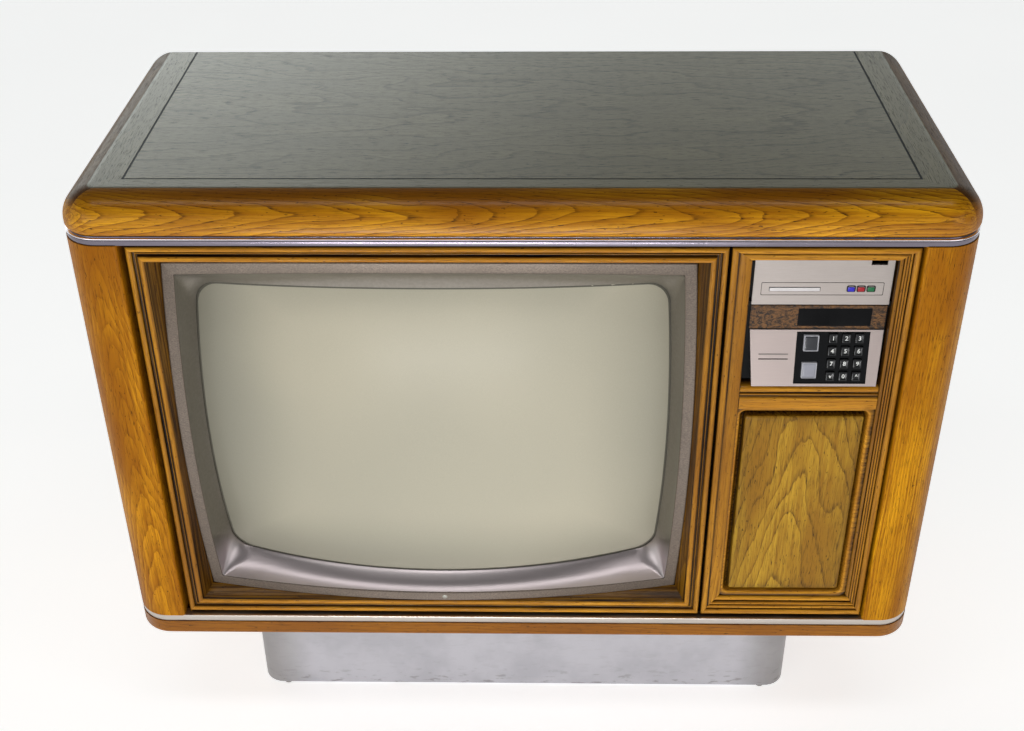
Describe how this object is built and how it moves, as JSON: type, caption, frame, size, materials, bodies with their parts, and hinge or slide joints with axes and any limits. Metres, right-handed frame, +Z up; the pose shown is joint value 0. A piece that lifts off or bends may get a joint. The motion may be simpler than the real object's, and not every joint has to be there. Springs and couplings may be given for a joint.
{
  "type": "console television",
  "caption": "Wood-cased console tube television on a swivelling silver pedestal, with a push-button keypad and a drop-down control door.",
  "frame": {"origin": "on the floor under the middle of the whole object", "axes": "+Z up, +X to the right of a viewer who faces the screen, the screen faces -Y"},
  "size_m": [0.962, 0.5, 0.762],
  "materials": {
    "oak": "satin brown-glazed oak",
    "top_veneer": "satin oak veneer",
    "moulding": "satin, dark glaze in the grooves",
    "panel_veneer": "satin distressed veneer",
    "baffle_board": "flat black painted board",
    "bright_trim": "polished",
    "satin_trim": "satin",
    "pedestal_silver": "silver laminate over board",
    "pedestal_wood": "raw chipboard",
    "mask_silver": "satin metallic lacquer",
    "screen_glass": "polished grey glass",
    "tube_glass": "graphite-coated glass",
    "steel": "zinc plated",
    "winding": "varnished copper windings in plastic",
    "coil_tape": "taped coil",
    "circuit_board": "phenolic board with parts",
    "black_moulded": "black moulded plastic",
    "cover_board": "dark brown moulded board",
    "silver_fascia": "satin silver",
    "burl_strip": "burl print under lacquer",
    "dark_window": "polished black",
    "key_black": "black keys with white figures",
    "button_smoke": "smoked clear plastic",
    "button_grey": "pale translucent plastic",
    "glide_steel": "plated"
  },
  "bodies": {
    "pedestal": {"pedestal_shell": "pedestal_silver", "pedestal_board": "pedestal_wood", "floor_glides": "glide_steel", "swivel_lower_plate": "steel", "swivel_balls": "glide_steel"},
    "cabinet": {"swivel_upper_plate": "steel", "bottom_board": "oak", "lower_trim": "satin_trim", "upper_trim": "bright_trim", "side_panel_left": "oak", "side_panel_right": "oak", "corner_post_left": "oak", "corner_post_right": "oak", "top_rail_front": "oak", "top_rail_left": "oak", "top_rail_right": "oak", "top_field": "top_veneer", "front_baffle": "baffle_board", "screen_moulding": "moulding", "control_frame": "moulding", "lower_panel": "panel_veneer", "screen_mask": "mask_silver", "picture_tube_face": "screen_glass", "picture_tube_funnel": "tube_glass", "implosion_band": "steel", "electron_gun": "steel", "deflection_yoke": "winding", "neck_board": "circuit_board", "degaussing_coil": "coil_tape", "chassis_frame": "steel", "main_board": "circuit_board", "flyback_transformer": "black_moulded", "tuner_module": "steel", "speaker": "steel", "back_cover": "cover_board", "cabinet_screws": "steel", "rear_terminals": "black_moulded", "control_housing": "black_moulded", "display_fascia": "burl_strip", "display_window": "dark_window", "keypad_fascia": "silver_fascia", "control_board": "circuit_board"},
    "key_1": {"key_1": "key_black"},
    "key_2": {"key_2": "key_black"},
    "key_3": {"key_3": "key_black"},
    "key_4": {"key_4": "key_black"},
    "key_5": {"key_5": "key_black"},
    "key_6": {"key_6": "key_black"},
    "key_7": {"key_7": "key_black"},
    "key_8": {"key_8": "key_black"},
    "key_9": {"key_9": "key_black"},
    "key_down": {"key_down": "key_black"},
    "key_0": {"key_0": "key_black"},
    "key_up": {"key_up": "key_black"},
    "power_button": {"power_button": "button_smoke"},
    "recall_button": {"recall_button": "button_grey"},
    "control_door": {"control_door": "silver_fascia"},
    "brightness_knob": {"brightness_knob": "black_moulded"},
    "color_knob": {"color_knob": "black_moulded"},
    "tint_knob": {"tint_knob": "black_moulded"}
  },
  "joints": [
    {"name": "cabinet_swivel", "type": "hinge", "parent": "pedestal", "child": "cabinet", "pos_m": [0, -0.031, 0.156], "axis": [0, 0, 1], "range_deg": [-45, 45]},
    {"name": "door_hinge", "type": "hinge", "parent": "cabinet", "child": "control_door", "pos_m": [0.31925, -0.2365, 0.636], "axis": [1, 0, 0], "range_deg": [0, 90]},
    {"name": "key_1_press", "type": "slide", "parent": "cabinet", "child": "key_1", "axis": [0, 0.9863, -0.165], "range_m": [0, 0.0015], "stiffness_N_per_m": 300, "springref_m": -0.002},
    {"name": "key_2_press", "type": "slide", "parent": "cabinet", "child": "key_2", "axis": [0, 0.9863, -0.165], "range_m": [0, 0.0015], "stiffness_N_per_m": 300, "springref_m": -0.002},
    {"name": "key_3_press", "type": "slide", "parent": "cabinet", "child": "key_3", "axis": [0, 0.9863, -0.165], "range_m": [0, 0.0015], "stiffness_N_per_m": 300, "springref_m": -0.002},
    {"name": "key_4_press", "type": "slide", "parent": "cabinet", "child": "key_4", "axis": [0, 0.9863, -0.165], "range_m": [0, 0.0015], "stiffness_N_per_m": 300, "springref_m": -0.002},
    {"name": "key_5_press", "type": "slide", "parent": "cabinet", "child": "key_5", "axis": [0, 0.9863, -0.165], "range_m": [0, 0.0015], "stiffness_N_per_m": 300, "springref_m": -0.002},
    {"name": "key_6_press", "type": "slide", "parent": "cabinet", "child": "key_6", "axis": [0, 0.9863, -0.165], "range_m": [0, 0.0015], "stiffness_N_per_m": 300, "springref_m": -0.002},
    {"name": "key_7_press", "type": "slide", "parent": "cabinet", "child": "key_7", "axis": [0, 0.9863, -0.165], "range_m": [0, 0.0015], "stiffness_N_per_m": 300, "springref_m": -0.002},
    {"name": "key_8_press", "type": "slide", "parent": "cabinet", "child": "key_8", "axis": [0, 0.9863, -0.165], "range_m": [0, 0.0015], "stiffness_N_per_m": 300, "springref_m": -0.002},
    {"name": "key_9_press", "type": "slide", "parent": "cabinet", "child": "key_9", "axis": [0, 0.9863, -0.165], "range_m": [0, 0.0015], "stiffness_N_per_m": 300, "springref_m": -0.002},
    {"name": "key_down_press", "type": "slide", "parent": "cabinet", "child": "key_down", "axis": [0, 0.9863, -0.165], "range_m": [0, 0.0015], "stiffness_N_per_m": 300, "springref_m": -0.002},
    {"name": "key_0_press", "type": "slide", "parent": "cabinet", "child": "key_0", "axis": [0, 0.9863, -0.165], "range_m": [0, 0.0015], "stiffness_N_per_m": 300, "springref_m": -0.002},
    {"name": "key_up_press", "type": "slide", "parent": "cabinet", "child": "key_up", "axis": [0, 0.9863, -0.165], "range_m": [0, 0.0015], "stiffness_N_per_m": 300, "springref_m": -0.002},
    {"name": "power_button_press", "type": "slide", "parent": "cabinet", "child": "power_button", "axis": [0, 0.9863, -0.165], "range_m": [0, 0.0015], "stiffness_N_per_m": 300, "springref_m": -0.002},
    {"name": "recall_button_press", "type": "slide", "parent": "cabinet", "child": "recall_button", "axis": [0, 0.9863, -0.165], "range_m": [0, 0.0015], "stiffness_N_per_m": 300, "springref_m": -0.002},
    {"name": "brightness_knob_turn", "type": "hinge", "parent": "cabinet", "child": "brightness_knob", "pos_m": [0.275, -0.22, 0.661], "axis": [0, -1, 0], "range_deg": [-150, 150]},
    {"name": "color_knob_turn", "type": "hinge", "parent": "cabinet", "child": "color_knob", "pos_m": [0.319, -0.22, 0.661], "axis": [0, -1, 0], "range_deg": [-150, 150]},
    {"name": "tint_knob_turn", "type": "hinge", "parent": "cabinet", "child": "tint_knob", "pos_m": [0.363, -0.22, 0.661], "axis": [0, -1, 0], "range_deg": [-150, 150]}
  ]
}
